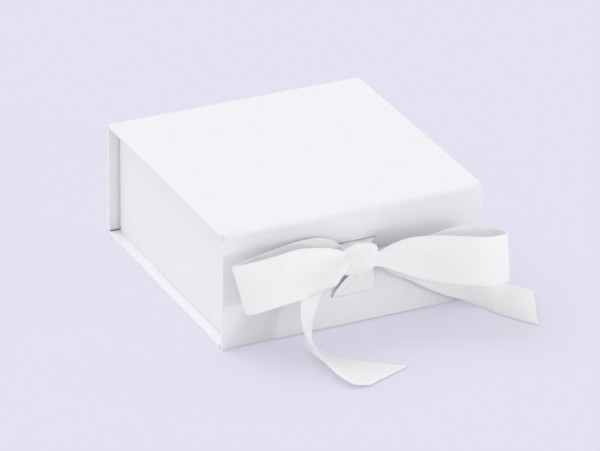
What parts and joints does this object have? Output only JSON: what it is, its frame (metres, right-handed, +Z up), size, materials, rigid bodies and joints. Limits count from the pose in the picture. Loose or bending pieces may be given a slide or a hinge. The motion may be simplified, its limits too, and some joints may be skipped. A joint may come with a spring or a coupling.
{
  "type": "favor box",
  "caption": "Square white paper-covered board gift box that opens like a book, with a magnetic front flap closed by a ribbon tied in a bow.",
  "frame": {"origin": "middle of the box's underside, on the surface that it stands on", "axes": "+Z up, +X to the right, front flap and bow towards -Y, spine towards +Y"},
  "size_m": [0.1298, 0.1609, 0.0496],
  "materials": {
    "covering_paper": "matte white covering paper",
    "lining_paper": "matte white lining paper",
    "grey_board": "raw grey board",
    "tab_card": "matte white card",
    "adhesive": "translucent adhesive film",
    "magnet": "nickel-plated magnet",
    "steel": "plain steel disc",
    "ribbon": "white grosgrain ribbon, ribbed across its width"
  },
  "bodies": {
    "tray": {"base_board": "grey_board", "base_wrap": "covering_paper", "base_crease": "covering_paper", "spine_board": "grey_board", "spine_wrap": "covering_paper", "spine_liner": "lining_paper", "floor_liner": "lining_paper", "left_wall_board": "grey_board", "left_wall_wrap": "covering_paper", "left_wall_liner": "lining_paper", "right_wall_board": "grey_board", "right_wall_wrap": "covering_paper", "right_wall_liner": "lining_paper", "front_wall_board": "grey_board", "front_wall_wrap": "covering_paper", "front_wall_liner": "lining_paper", "steel_discs": "steel", "back_left_tab": "tab_card", "back_right_tab": "tab_card", "front_left_tab": "tab_card", "front_right_tab": "tab_card", "tab_tapes": "adhesive", "lid_crease": "covering_paper"},
    "lid": {"lid_board": "grey_board", "lid_wrap": "covering_paper", "lid_liner": "lining_paper", "flap_crease": "covering_paper"},
    "flap": {"flap_board": "grey_board", "flap_wrap": "covering_paper", "flap_liner": "lining_paper", "flap_magnets": "magnet", "ribbon_band": "ribbon", "ribbon_knot": "ribbon", "ribbon_left_loop": "ribbon", "ribbon_right_loop": "ribbon", "ribbon_left_tail": "ribbon", "ribbon_right_tail": "ribbon"}
  },
  "joints": [
    {"name": "lid_hinge", "type": "hinge", "parent": "tray", "child": "lid", "pos_m": [0, 0.05553, 0.04913], "axis": [-1, 0, 0], "range_deg": [0, 180], "deforming": ["lid_crease"]},
    {"name": "flap_hinge", "type": "hinge", "parent": "lid", "child": "flap", "pos_m": [0, -0.05553, 0.04913], "axis": [-1, 0, 0], "range_deg": [0, 90], "deforming": ["flap_crease"]}
  ]
}
